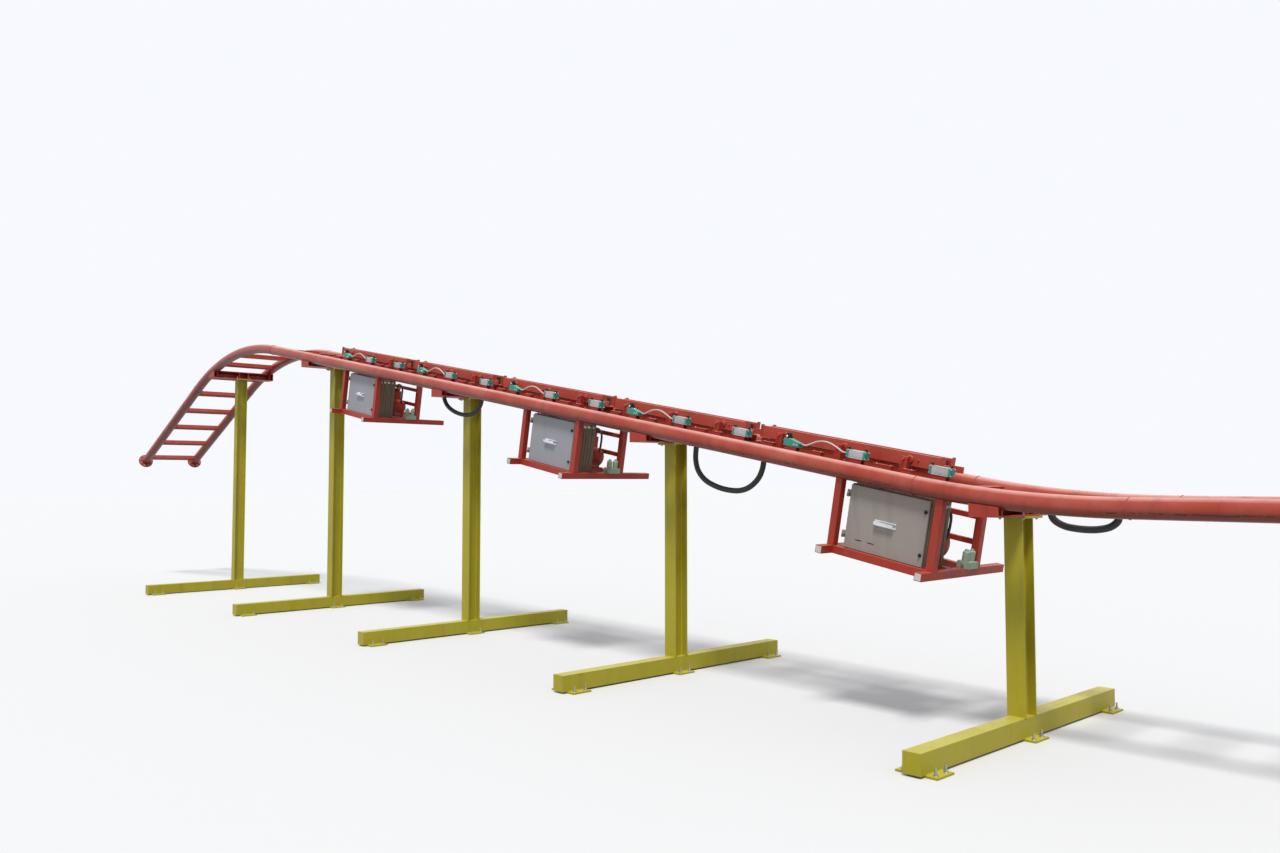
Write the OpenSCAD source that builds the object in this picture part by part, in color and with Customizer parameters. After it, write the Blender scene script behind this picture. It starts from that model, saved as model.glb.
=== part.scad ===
// Brake run section of a small roller coaster's two-tube track.
// X runs along the track, downhill. Y points to the far rail and Z up.
// The origin lies under the foot of the middle support. Lengths are in millimetres, angles in degrees.

/* [Track] */
// Distance between the centrelines of the two rails
gauge = 900; // [820:10:1000]
// Outer diameter of a rail tube
rail_od = 140; // [120:2:150]
// Wall of a rail tube
rail_wall = 10; // [6:1:16]
// Height of the level stretch's centreline above the feet
level_z = 1660; // [1500:10:1900]
// X where the level stretch starts to rise
level_end_x = 7900; // [7700:20:8100]
// Length of the level stretch at the low end
level_len = 1370; // [1000:10:1800]
// Radius of the curve between the level stretch and the slope
pull_out_r = 8500; // [7500:100:9500]
// Fall of the braking slope
slope = 10.3; // [8:0.1:12]
// Length of the straight slope between its curves
slope_len = 11200; // [10800:20:11800]
// Radius of the crest
crest_r = 5000; // [4500:100:5600]
// Fall of the entry on the other side of the crest
entry_slope = 25.2; // [22:0.1:28]
// Length of the straight entry
entry_len = 2840; // [2400:20:3200]
// Diameter of a rail flange
flange_od = 250; // [230:5:280]
// Thickness of a rail flange
flange_t = 20; // [12:1:30]
// Bolt circle of a rail flange
flange_pcd = 195; // [185:1:200]
// Bolt holes in a rail flange
flange_holes = 8; // [6:2:12]
// Diameter of a bolt hole in a rail flange
flange_hole_d = 18; // [14:1:22]

/* [Ties] */
// Width of a cross tie along the track
tie_w = 80; // [60:5:100]
// Height of a cross tie
tie_h = 60; // [40:5:80]
// Wall of a cross tie
tie_wall = 5; // [3:1:8]
// Widest spacing of the cross ties
tie_pitch = 650; // [560:10:800]
// Distance from a support to the cross ties beside it
tie_beside_support = 300; // [240:10:340]
// Distance from the outermost cross ties to the rail ends
tie_end_margin = 150; // [100:10:250]

/* [Supports] */
// Spacing of the supports along X
support_pitch = 3470; // [3300:10:3600]
// Width of a column along X
column_w = 140; // [120:5:180]
// Depth of a column along Y
column_d = 165; // [140:5:200]
// Width of the crest column along X
crest_column_w = 110; // [100:5:160]
// Flange thickness of a column
column_flange = 12; // [8:1:18]
// Web thickness of a column
column_web = 8; // [5:1:12]
// Radius at the root of a column's web
column_root_r = 12; // [8:1:16]
// Length of a base beam across the track
base_len = 2900; // [2600:20:3200]
// Width of a base beam
base_w = 130; // [100:5:150]
// Height of a base beam
base_h = 140; // [110:5:180]
// Wall of a base beam
base_wall = 6; // [4:1:10]
// Distance from the middle of a base beam to an outer foot plate
foot_y = 1300; // [1000:10:1300]
// Size of a foot plate along X
foot_x_size = 300; // [280:10:340]
// Size of a foot plate along Y
foot_y_size = 200; // [180:5:220]
// Thickness of a foot plate
foot_t = 15; // [10:1:25]
// Spacing of the anchor holes along X
anchor_x = 230; // [220:2:250]
// Spacing of the anchor holes along Y
anchor_y = 120; // [100:2:140]
// Diameter of an anchor hole
anchor_d = 22; // [18:1:26]
// Side of the cap plate along X
cap_x_size = 250; // [230:5:280]
// Side of the cap plate along Y
cap_y_size = 240; // [220:5:280]
// Thickness of a cap plate
cap_t = 15; // [10:1:25]
// Drop from the rails' centreline to the top of a support
support_drop = 135; // [125:1:160]
// Width of a saddle along X
saddle_w = 220; // [180:5:240]
// Reach of a saddle past the centreline of each rail
saddle_reach = 60; // [50:5:90]
// Depth of a saddle's top face below the rails' centreline
saddle_top = 50; // [40:1:60]
// Thickness of a saddle's flanges, end plates and stiffeners
saddle_plate = 12; // [8:1:14]
// Thickness of a saddle's web
saddle_web = 14; // [8:1:20]

/* [Brakes] */
// Number of brake units
brake_count = 5; // [5:1:5]
// Spacing of the brake units along the slope
brake_pitch = 1975; // [1900:5:2050]
// Distance from the foot of the slope to the first brake's middle
brake_first = 920; // [880:5:1000]
// Length of a brake jaw
jaw_len = 1800; // [1700:10:1850]
// Width of the brake slot with the jaws open
slot_w = 60; // [54:1:80]
// Travel of each jaw towards the fin
jaw_travel = 20; // [12:1:22]
// Thickness of a jaw beam
jaw_t = 50; // [40:1:60]
// Height of a jaw beam
jaw_h = 100; // [90:1:120]
// Height of a jaw's underside above the rails' centreline
jaw_z = 100; // [98:1:110]
// Thickness of a brake lining
lining_t = 8; // [5:1:12]
// Margin of the lining inside the jaw's outline
lining_margin = 12; // [8:1:20]
// Thickness of a jaw's end plates
jaw_plate_t = 10; // [6:1:14]
// How far a jaw's end plates stand out past its beam
jaw_plate_proud = 10; // [5:1:14]
// Length of the tang at a jaw's downhill end
tang_len = 90; // [60:2:94]
// How far the tang draws back from the fin
tang_flare = 30; // [20:1:34]
// Diameter of a guide pin
guide_d = 20; // [16:1:24]
// Radial clearance between a guide pin and its bore
guide_clearance = 0.08; // [0.05:0.01:0.1]
// Distance from a jaw's middle to its outer guide pins
guide_x = 620; // [500:10:700]
// Length of a guide pin past the far side of its block
guide_proud = 22; // [20:1:30]
// Height of a carrier channel
carrier_h = 62; // [50:1:62]
// Half width of a carrier channel
carrier_half_w = 70; // [50:1:80]
// Wall of a carrier channel
carrier_wall = 8; // [5:1:10]
// Width of a guide block along the track
block_w = 64; // [50:1:80]
// Thickness of a guide block across the track
block_t = 40; // [30:1:45]
// Distance from a jaw's outer face to its guide block
block_gap = 52; // [40:1:60]

/* [Air gear] */
// Distance from the track's middle to the gear's middle
gear_y = 255; // [250:1:275]
// Width of the shelf that carries the gear
shelf_w = 90; // [80:1:100]
// Thickness of the shelf
shelf_t = 8; // [6:1:12]
// Reach of the shelf past the foot of the slope
shelf_reach = 185; // [175:1:190]
// Height of the brackets that carry the gear on its shelf
bracket_h = 48; // [30:1:60]
// Length of a bracket
bracket_len = 110; // [80:1:130]
// Width of a bracket
bracket_w = 54; // [40:1:60]
// Side of a cylinder's square barrel
barrel_side = 60; // [50:1:64]
// Length of a cylinder's barrel
barrel_len = 140; // [110:1:180]
// Side of a cylinder's end cap
end_cap_side = 68; // [65:1:72]
// Length of an end cap
end_cap_len = 18; // [12:1:24]
// Corner radius of barrels and end caps
cylinder_corner_r = 8; // [4:1:12]
// Length of a valve body
valve_len = 160; // [120:1:180]
// Width of a valve body
valve_w = 60; // [45:1:70]
// Height of a valve body at its tall end
valve_h = 62; // [50:1:70]
// Height of a valve body at its low end
valve_low_h = 36; // [24:1:44]
// Diameter of a hose fitting
fitting_d = 22; // [20:1:26]
// Length of a hose fitting
fitting_len = 20; // [14:1:26]
// Height of a valve's fitting above the valve's underside
fitting_rise = 28; // [20:1:34]
// Diameter of an air hose
hose_d = 14; // [10:1:16]

/* [Cradles] */
// Spacing of the cradles along the slope
cradle_pitch = 4095; // [4050:5:4150]
// Distance from the foot of the slope to the first cradle's middle
cradle_first = 215; // [200:5:250]
// Distance from a cradle's middle to its posts
post_x = 440; // [420:2:480]
// Side of a cradle's square tube
tube_side = 60; // [50:1:70]
// Distance from the track's middle to the far posts
far_post_y = 165; // [150:1:180]
// Depth of a cradle's underside below the rails' centreline
cradle_depth = 650; // [620:5:700]
// Reach of a cross bearer on the near side
bearer_near = 620; // [580:5:660]
// Reach of a cross bearer on the far side
bearer_far = 580; // [540:5:640]
// Side of the braces between the far posts
brace_side = 40; // [30:1:50]

/* [Cabinets] */
// Width of a cabinet along the track
cabinet_w = 700; // [660:5:740]
// Height of a cabinet
cabinet_h = 500; // [440:5:500]
// Depth of a cabinet's body
cabinet_d = 268; // [240:2:280]
// Wall of a cabinet
cabinet_wall = 4; // [2:0.5:6]
// Distance from the track's middle to the outside of the doors
door_face_y = 435; // [430:1:445]
// Thickness of a door
door_t = 18; // [14:1:22]
// Gap between a closed door and the cabinet's body
door_gap = 5; // [5:0.5:7]
// Border between a door's outline and the cabinet's
door_border = 5; // [5:0.5:8]
// Diameter of a hinge pin
hinge_pin_d = 8; // [6:0.5:10]
// Radial clearance of a hinge pin
hinge_clearance = 0.08; // [0.05:0.01:0.1]
// Radius of a hinge lug
hinge_lug_r = 12; // [10:0.5:12]
// Height of a hinge lug
hinge_lug_h = 24; // [16:1:30]
// Height of a hinge knuckle
hinge_knuckle_h = 30; // [20:1:40]
// Height of the hinges above and below the cabinet's middle
hinge_z = 160; // [120:5:180]
// Length of a vent slot in the lowest cabinet's door
vent_len = 60; // [40:1:80]
// Height of a vent slot
vent_h = 8; // [5:1:12]
// Height of the vent slots above the door's lower edge
vent_z = 70; // [40:1:120]
// Length of a door handle
handle_len = 190; // [150:5:220]
// Height of a door handle's plate
handle_h = 44; // [36:1:50]
// Number of cable glands on a cabinet's downhill side
gland_count = 4; // [3:1:4]
// Diameter of a cable gland
gland_d = 22; // [16:1:26]
// Length of a cable gland
gland_len = 25; // [18:1:32]
// Depth of the cable glands below the cabinet's top
gland_drop = 45; // [30:1:60]
// Number of ribs on a cabinet's downhill side
rib_count = 6; // [4:1:7]
// Width of a rib
rib_w = 14; // [8:1:18]
// How far a rib stands out
rib_proud = 5; // [3:0.5:8]

/* [Air receivers] */
// Diameter of an air receiver
receiver_d = 200; // [180:5:210]
// Length of an air receiver between its domed ends
receiver_len = 460; // [400:10:520]
// Rise of a receiver's domed ends
receiver_dome = 45; // [35:1:60]
// Distance from the track's middle to the receiver's middle, towards the far rail
receiver_y = 10; // [0:1:15]
// Diameter of the pump's motor
motor_d = 120; // [100:2:130]
// Length of the pump's motor
motor_len = 200; // [160:5:240]
// Number of cooling fins on the motor
fin_count = 7; // [5:1:9]
// Height of a cooling fin
fin_h = 7; // [4:1:10]
// Thickness of a cooling fin
fin_t = 6; // [4:1:8]
// Diameter of the pump's head
pump_head_d = 84; // [70:2:90]

/* [Cables] */
// Diameter of a cable loop's sheath
cable_d = 50; // [44:1:54]
// Distance from the track's middle to the cable loops
cable_y = 300; // [296:1:310]
// Thickness of a cable tab
cable_tab_t = 8; // [6:1:12]
// Diameter of a cable loop's gland
cable_gland_d = 64; // [60:1:70]
// Length of a cable loop's gland
cable_gland_len = 40; // [38:1:42]
// Distance down the track from the middle support to the first cable loop's middle
loop_1_below = 255; // [240:5:270]
// Distance up the track from its tie to the second cable loop's middle
loop_2_above = 485; // [480:5:500]

/* [Hidden] */
$fn = 48;
// Facets of the long curves, which would flatten visibly with fewer
arc_fn = 720;
BRAKES = [1:brake_count];
SUPPORTS = [1:5];
CRADLES = [1:3];

rail_r = rail_od / 2;
// Gap left for a weld, and between pieces that are bolted together
weld_gap = 0.3;
cut = 1;

// Ends and centres of the track's curves, as X and Z
slope_foot = [level_end_x - pull_out_r * sin(slope), level_z + pull_out_r * (1 - cos(slope))];
slope_top = slope_foot + slope_len * [-cos(slope), sin(slope)];
crest_centre = slope_top - crest_r * [sin(slope), cos(slope)];
entry_top = crest_centre + crest_r * [-sin(entry_slope), cos(entry_slope)];

// Distances along the track from its low end to the end of each stretch
degree = PI / 180;
d_level = level_len;
d_pull_out = d_level + pull_out_r * slope * degree;
d_slope = d_pull_out + slope_len;
d_crest = d_slope + crest_r * (slope + entry_slope) * degree;
d_entry = d_crest + entry_len;

// X, Z and downhill tilt of the track at a distance from its low end
function on_track(d) =
    d < d_level ? [level_end_x + level_len - d, level_z, 0]
    : d < d_pull_out ? on_pull_out((d - d_level) / pull_out_r / degree)
    : d < d_slope ? [slope_foot.x - (d - d_pull_out) * cos(slope),
                     slope_foot.y + (d - d_pull_out) * sin(slope), slope]
    : d < d_crest ? on_crest(slope - (d - d_slope) / crest_r / degree)
    : [entry_top.x - (d - d_crest) * cos(entry_slope),
       entry_top.y - (d - d_crest) * sin(entry_slope), -entry_slope];
function on_pull_out(a) = [level_end_x - pull_out_r * sin(a), level_z + pull_out_r * (1 - cos(a)), a];
function on_crest(a) = [crest_centre.x + crest_r * sin(a), crest_centre.y + crest_r * cos(a), a];

// Distance along the track of the point at a given X
function track_d(x) =
    x > level_end_x ? level_end_x + level_len - x
    : x > slope_foot.x ? d_level + pull_out_r * asin((level_end_x - x) / pull_out_r) * degree
    : x > slope_top.x ? d_pull_out + (slope_foot.x - x) / cos(slope)
    : x > entry_top.x ? d_slope + crest_r * (slope - asin((x - crest_centre.x) / crest_r)) * degree
    : d_crest + (entry_top.x - x) / cos(entry_slope);

function support_x(i) = (3 - i) * support_pitch;
function support_d(i) = track_d(support_x(i));
function brake_d(i) = d_pull_out + brake_first + (i - 1) * brake_pitch;
function cradle_d(i) = d_pull_out + cradle_first + (i - 1) * cradle_pitch;

// Cross ties stand beside each support and are spread evenly between, but not where a cradle's own beam is
cradle_beams = [for (i = CRADLES) for (side = [-1, 1]) cradle_d(i) + side * post_x];
bays = concat(
    [[tie_end_margin, support_d(1) - tie_beside_support]],
    [for (i = [1:4]) [support_d(i) + tie_beside_support, support_d(i + 1) - tie_beside_support]],
    [[support_d(5) + tie_beside_support, d_entry - tie_end_margin]]
);
function spread(bay) = let (n = ceil((bay[1] - bay[0]) / tie_pitch))
    [for (k = [0:n]) bay[0] + k * (bay[1] - bay[0]) / n];
tie_clear = tie_w / 2 + tube_side / 2 + 10;
function free_of_cradles(d) = min([for (c = cradle_beams) abs(c - d)]) > tie_clear;
tie_ds = [for (bay = bays) for (d = spread(bay)) if (free_of_cradles(d)) d];

tie_top = tie_h / 2;
deck_z = tie_top + weld_gap;
jaw_mid_z = jaw_z + jaw_h / 2;
jaw_inner_y = slot_w / 2;
jaw_outer_y = jaw_inner_y + lining_t + jaw_t;
block_inner_y = jaw_outer_y + block_gap;
block_outer_y = block_inner_y + block_t;
guide_xs = [-guide_x, 0, guide_x];
guide_bore_r = guide_d / 2 + guide_clearance;
shelf_top = deck_z + shelf_t;
gear_z = shelf_top + bracket_h + weld_gap;
cylinder_z = gear_z + end_cap_side / 2;

// Places along a brake unit, from its middle: the valve, and the cylinders at its lower half and end
valve_x = -400;
cylinder_xs = [250, 1000];
hose_end_x = cylinder_xs[0] - barrel_len / 2 - end_cap_len - fitting_len;
// Route of an air hose, as X along the unit and height above the rails' centreline
HOSE_ROUTE = [[-300, 114.6], [-262, 114.6], [-215, 136], [-160, 161], [-95, 174], [-25, 169],
              [45, 146], [104, 120.6], [142, 120.6]];

bearer_bottom = -cradle_depth;
bearer_top = bearer_bottom + tube_side;
stand_z = bearer_top + weld_gap;
cabinet_top = stand_z + cabinet_h;
cabinet_mid_z = stand_z + cabinet_h / 2;
cabinet_front = -door_face_y + door_t + door_gap;
cabinet_back = cabinet_front + cabinet_d;
// Places of the vent slots, as shares of the door's width
VENT_XS = [0.14, 0.3];
hinge_axis_x = -cabinet_w / 2 - hinge_lug_r;
hinge_axis_y = -door_face_y - 5;
receiver_z = stand_z + receiver_d / 2 + 30;

// Middles of the cable loops along the track, clear of the ties, and their routes in X and Z from there
low_ties = spread(bays[0]);
first_slope_ties = spread(bays[1]);
loop_ds = [
    support_d(3) - loop_1_below,
    first_slope_ties[3] + loop_2_above,
    (low_ties[len(low_ties) - 2] + low_ties[len(low_ties) - 1]) / 2
];
CABLE_LOOPS = [
    [loop_ds[0], [[-400, -44], [-400, -105], [-378, -172], [-310, -235], [-210, -275], [-90, -298],
                  [40, -304], [170, -290], [285, -250], [365, -185], [400, -112], [400, -44]]],
    [loop_ds[1], [[-400, -44], [-400, -130], [-385, -215], [-335, -300], [-235, -365], [-100, -395],
                  [40, -400], [180, -380], [290, -325], [370, -235], [400, -140], [400, -44]]],
    [loop_ds[2], [[-220, -44], [-220, -84], [-190, -118], [-130, -144], [-60, -154], [20, -156],
                  [90, -150], [160, -132], [204, -102], [220, -74], [220, -44]]],
];

paint_red = [0.62, 0.2, 0.15];
paint_yellow = [0.66, 0.62, 0.12];
paint_grey = [0.62, 0.63, 0.68];
paint_brown = [0.42, 0.34, 0.24];
teal = [0.25, 0.62, 0.55];
steel = [0.7, 0.7, 0.7];
black = [0.06, 0.06, 0.07];
off_white = [0.85, 0.85, 0.83];

// Puts its children on the track's centreline, with X downhill along the track
module on_track(d) {
    p = on_track(d);
    translate([p.x, 0, p.y]) rotate([0, p.z, 0]) children();
}

// Sweeps a 2D profile along the track's centreline, with a gap at each end of the straight lengths
module along_track(gap = 0) {
    translate([level_end_x, 0, level_z]) rotate([0, 90, 0]) translate([0, 0, gap])
        linear_extrude(level_len - gap) children();
    translate([level_end_x, 0, level_z + pull_out_r]) rotate([90, 0, 0]) rotate([0, 0, -90 - slope])
        rotate_extrude(angle = slope, $fn = arc_fn) translate([pull_out_r, 0]) children();
    translate([slope_foot.x, 0, slope_foot.y]) rotate([0, slope - 90, 0]) translate([0, 0, gap])
        linear_extrude(slope_len - 2 * gap) children();
    translate([crest_centre.x, 0, crest_centre.y]) rotate([90, 0, 0]) rotate([0, 0, 90 - slope])
        rotate_extrude(angle = slope + entry_slope, $fn = arc_fn) translate([crest_r, 0]) children();
    translate([entry_top.x, 0, entry_top.y]) rotate([0, -entry_slope - 90, 0]) translate([0, 0, gap])
        linear_extrude(entry_len - gap) children();
}

// A rail is five lengths of tube, butted with the gap that their welds fill
module rail(side) {
    color(paint_red) translate([0, side * gauge / 2, 0]) along_track(weld_gap) difference() {
        circle(r = rail_r);
        circle(r = rail_r - rail_wall);
    }
}

module flange() {
    difference() {
        cylinder(d = flange_od, h = flange_t);
        for (a = [0.5:flange_holes]) rotate(a * 360 / flange_holes)
            translate([flange_pcd / 2, 0, -cut]) cylinder(d = flange_hole_d, h = flange_t + 2 * cut);
    }
}

module rail_flanges() {
    color(paint_red) for (side = [-1, 1]) {
        translate([level_end_x + level_len + weld_gap, side * gauge / 2, level_z])
            rotate([0, 90, 0]) flange();
        translate([entry_top.x - entry_len * cos(entry_slope), side * gauge / 2,
                   entry_top.y - entry_len * sin(entry_slope)])
            rotate([0, -entry_slope - 90, 0]) translate([0, 0, weld_gap]) flange();
    }
}

// Room for both rails over a short length of track
module rail_room(length) {
    for (side = [-1, 1]) translate([-length / 2, side * gauge / 2, 0]) rotate([0, 90, 0])
        cylinder(r = rail_r + weld_gap, h = length);
}

// A square-cornered tube between the rails, coped to fit them
module tie(w, h, wall) {
    difference() {
        cube([w, gauge, h], center = true);
        cube([w - 2 * wall, gauge + cut, h - 2 * wall], center = true);
        rail_room(w + 2 * cut);
    }
}

module cross_ties() {
    color(paint_red) for (d = tie_ds) on_track(d) tie(tie_w, tie_h, tie_wall);
}

// A wedge-shaped H beam under both rails, level below and tilted with the track above. Its stiffeners
// stand under the rails and over the column's flanges.
module saddle(i) {
    p = on_track(support_d(i));
    rise = tan(p.z);
    top = support_drop - saddle_top / cos(p.z);
    half = saddle_w / 2;
    web = saddle_web / 2;
    under = top - saddle_plate;
    end_y = gauge / 2 + saddle_reach - saddle_plate / 2;
    plate_ys = [-end_y, -gauge / 2, -(column_d - column_flange) / 2,
                (column_d - column_flange) / 2, gauge / 2, end_y];
    difference() {
        translate([p.x, gauge / 2 + saddle_reach, p.y - support_drop]) rotate([90, 0, 0])
            linear_extrude(gauge + 2 * saddle_reach)
            polygon([[-half, 0], [half, 0], [half, top - rise * half], [-half, top + rise * half]]);
        for (side = [-1, 1]) for (k = [0:4])
            translate([p.x, plate_ys[k + 1] - saddle_plate / 2, p.y - support_drop]) rotate([90, 0, 0])
            linear_extrude(plate_ys[k + 1] - plate_ys[k] - saddle_plate)
            polygon([[side * web, saddle_plate], [side * (half + cut), saddle_plate],
                     [side * (half + cut), under - side * rise * (half + cut)],
                     [side * web, under - side * rise * web]]);
        for (side = [-1, 1]) translate([0, side * gauge / 2, 0]) along_track() circle(r = rail_r + weld_gap);
    }
}

module saddles() {
    color(paint_red) for (i = SUPPORTS) saddle(i);
}

module h_section(w, d) {
    difference() {
        square([w, d], center = true);
        for (side = [-1, 1]) translate([side * (column_web / 2 + w / 2), 0]) difference() {
            square([w, d - 2 * column_flange], center = true);
            for (s = [-1, 1]) translate([-side * w / 2, s * (d / 2 - column_flange)]) difference() {
                square(2 * column_root_r, center = true);
                translate([side * column_root_r, -s * column_root_r]) circle(r = column_root_r);
            }
        }
    }
}

module foot_plate() {
    difference() {
        translate([-foot_x_size / 2, -foot_y_size / 2, 0]) cube([foot_x_size, foot_y_size, foot_t]);
        for (x = [-1, 1]) for (y = [-1, 1]) translate([x * anchor_x / 2, y * anchor_y / 2, -cut])
            cylinder(d = anchor_d, h = foot_t + 2 * cut);
    }
}

module support(i) {
    p = on_track(support_d(i));
    w = i == 5 ? crest_column_w : column_w;
    column_bottom = foot_t + base_h;
    column_top = p.y - support_drop - cap_t;
    color(paint_yellow) translate([p.x, 0, 0]) {
        for (y = [-foot_y, 0, foot_y]) translate([0, y, 0]) foot_plate();
        translate([0, 0, foot_t + base_h / 2]) difference() {
            cube([base_w, base_len, base_h], center = true);
            cube([base_w - 2 * base_wall, base_len - 2 * base_wall, base_h - 2 * base_wall], center = true);
        }
        translate([0, 0, column_bottom]) linear_extrude(column_top - column_bottom) h_section(w, column_d);
        translate([-cap_x_size / 2, -cap_y_size / 2, column_top]) cube([cap_x_size, cap_y_size, cap_t]);
    }
}

// One guide block on its outrigger foot, on the far side of the slot
module guide_block() {
    difference() {
        union() {
            translate([-block_w / 2, block_inner_y, deck_z])
                cube([block_w, block_t, jaw_mid_z + guide_d - deck_z]);
            translate([-block_w / 2, carrier_half_w - cut, deck_z])
                cube([block_w, block_outer_y - carrier_half_w, carrier_wall + 4]);
        }
        translate([0, block_inner_y - cut, jaw_mid_z]) rotate([-90, 0, 0])
            cylinder(r = guide_bore_r, h = block_t + 2 * cut);
    }
}

module carrier(i) {
    color(paint_red) on_track(brake_d(i)) {
        difference() {
            translate([-jaw_len / 2, -carrier_half_w, deck_z])
                cube([jaw_len, 2 * carrier_half_w, carrier_h]);
            translate([-jaw_len / 2 - cut, -carrier_half_w + carrier_wall, deck_z - cut])
                cube([jaw_len + 2 * cut, 2 * (carrier_half_w - carrier_wall),
                      carrier_h - carrier_wall + cut]);
        }
        for (x = guide_xs) translate([x, 0, 0]) {
            guide_block();
            mirror([0, 1, 0]) guide_block();
        }
    }
}

// The far jaw, with its lining, end plates, guide pins and flared tang at the downhill end
module jaw_shape() {
    translate([-jaw_len / 2, jaw_inner_y + lining_t, jaw_z]) cube([jaw_len, jaw_t, jaw_h]);
    translate([-jaw_len / 2 + lining_margin, jaw_inner_y, jaw_z + lining_margin])
        cube([jaw_len - 2 * lining_margin, lining_t + cut, jaw_h - 2 * lining_margin]);
    for (x = guide_xs) translate([x, jaw_outer_y - cut, jaw_mid_z]) rotate([-90, 0, 0])
        cylinder(d = guide_d, h = block_gap + block_t + guide_proud + cut);
    for (x = [-jaw_len / 2, jaw_len / 2 - jaw_plate_t])
        translate([x, jaw_inner_y + lining_t + jaw_t / 2, jaw_z])
        cube([jaw_plate_t, jaw_t / 2 + jaw_plate_proud, jaw_h + jaw_plate_proud]);
    translate([jaw_len / 2 - cut, jaw_inner_y + lining_t, jaw_z]) linear_extrude(jaw_h / 2) tang_outline();
}

module tang_outline() {
    r = (jaw_t - tang_flare) / 2;
    polygon([[0, 0], [tang_len + cut - r, tang_flare], [tang_len + cut - r, jaw_t], [0, jaw_t]]);
    translate([tang_len + cut - r, jaw_t - r]) circle(r = r);
}

module jaw(i, side) {
    color(paint_red) on_track(brake_d(i)) scale([1, side, 1]) jaw_shape();
}

// A long plate on the ties, with a bracket under each valve and cylinder
module equipment_shelf() {
    up = brake_first + (brake_count - 0.5) * brake_pitch;
    color(paint_red) on_track(d_pull_out) {
        translate([-up, -gear_y - shelf_w / 2, deck_z]) cube([up + shelf_reach, shelf_w, shelf_t]);
        for (i = BRAKES) for (x = concat([valve_x], cylinder_xs))
            translate([x - brake_first - (i - 1) * brake_pitch, -gear_y, shelf_top - cut])
            bracket();
    }
}

// A folded bracket, open along the track
module bracket() {
    difference() {
        translate([-bracket_len / 2, -bracket_w / 2, 0]) cube([bracket_len, bracket_w, bracket_h + cut]);
        translate([-bracket_len / 2 - cut, -bracket_w / 2 + shelf_t, shelf_t])
            cube([bracket_len + 2 * cut, bracket_w - 2 * shelf_t, bracket_h - 2 * shelf_t]);
    }
}

module rounded_square(side, r) {
    square([side, side - 2 * r], center = true);
    square([side - 2 * r, side], center = true);
    for (x = [-1, 1]) for (y = [-1, 1]) translate([x * (side / 2 - r), y * (side / 2 - r)]) circle(r = r);
}

// A square bar with round corners along X, centred
module rounded_bar(side, length) {
    rotate([0, 90, 0]) translate([0, 0, -length / 2]) linear_extrude(length)
        rounded_square(side, cylinder_corner_r);
}

module at_cylinders() {
    for (i = BRAKES) for (x = cylinder_xs)
        on_track(brake_d(i)) translate([x, -gear_y, cylinder_z]) children();
}

module cylinder_barrels() {
    color(steel) at_cylinders() rounded_bar(barrel_side, barrel_len);
}

module cylinder_caps() {
    color(teal) {
        at_cylinders() for (side = [-1, 1]) translate([side * (barrel_len + end_cap_len) / 2, 0, 0])
            rounded_bar(end_cap_side, end_cap_len);
        for (i = BRAKES) on_track(brake_d(i)) translate([hose_end_x, -gear_y, cylinder_z]) rotate([0, 90, 0])
            cylinder(d = fitting_d, h = fitting_len + cut);
    }
}

module valve_bodies() {
    color(teal) for (i = BRAKES) on_track(brake_d(i)) translate([valve_x, -gear_y, gear_z]) {
        translate([0, valve_w / 2, 0]) rotate([90, 0, 0]) linear_extrude(valve_w)
            polygon([[-valve_len / 2, 0], [valve_len / 2, 0], [valve_len / 2, valve_low_h],
                     [-valve_len / 6, valve_h], [-valve_len / 2, valve_h]]);
        translate([valve_len / 2 - cut, 0, fitting_rise]) rotate([0, 90, 0])
            cylinder(d = fitting_d, h = fitting_len + cut);
    }
}

// A round tube along points in the XZ plane, with a ring of corners at each point
module tube(points, d, sides = 10) {
    n = len(points);
    heading = [for (k = [0:n - 1])
        let (a = points[max(k - 1, 0)], b = points[min(k + 1, n - 1)]) (b - a) / norm(b - a)];
    rings = [for (k = [0:n - 1]) for (j = [0:sides - 1])
        let (a = 360 * j / sides, c = d / 2 * cos(a), s = d / 2 * sin(a))
        [points[k].x - heading[k].y * c, s, points[k].y + heading[k].x * c]];
    walls = [for (k = [0:n - 2]) for (j = [0:sides - 1])
        let (a = k * sides + j, b = k * sides + (j + 1) % sides) [b, a, a + sides, b + sides]];
    caps = [[for (j = [0:sides - 1]) j], [for (j = [sides - 1:-1:0]) (n - 1) * sides + j]];
    polyhedron(rings, concat(walls, caps));
}

module air_hose(i) {
    color(off_white) on_track(brake_d(i)) translate([0, -gear_y, 0]) tube(HOSE_ROUTE, hose_d, 8);
}

module post(y, top) {
    for (side = [-1, 1]) translate([side * post_x - tube_side / 2, y - tube_side / 2, bearer_bottom])
        cube([tube_side, tube_side, top - bearer_bottom]);
}

module bearer(y) {
    translate([-post_x, y - tube_side / 2, bearer_bottom]) cube([2 * post_x, tube_side, tube_side]);
}

module cradle(i) {
    beam_ds = [for (side = [-1, 1]) cradle_d(i) + side * post_x];
    color(paint_red) {
        difference() {
            union() {
                for (d = beam_ds) on_track(d) cube([tube_side, gauge, tube_side], true);
                on_track(cradle_d(i)) {
                    post(-gauge / 2, -rail_r / 2);
                    post(far_post_y, 0);
                }
            }
            for (d = beam_ds) on_track(d) rail_room(3 * tube_side);
        }
        on_track(cradle_d(i)) {
            for (y = [-gauge / 2, cabinet_front + 40, cabinet_back, far_post_y]) bearer(y);
            for (side = [-1, 1]) translate([side * post_x - tube_side / 2, -bearer_near, bearer_bottom])
                cube([tube_side, bearer_near + bearer_far, tube_side]);
            for (z = [0.35, 0.65]) translate([-post_x, far_post_y - brace_side / 2, bearer_bottom * z])
                cube([2 * post_x, brace_side, brace_side]);
        }
    }
}

function rib_y(k) = cabinet_front + k * cabinet_d / (rib_count + 1);

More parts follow.
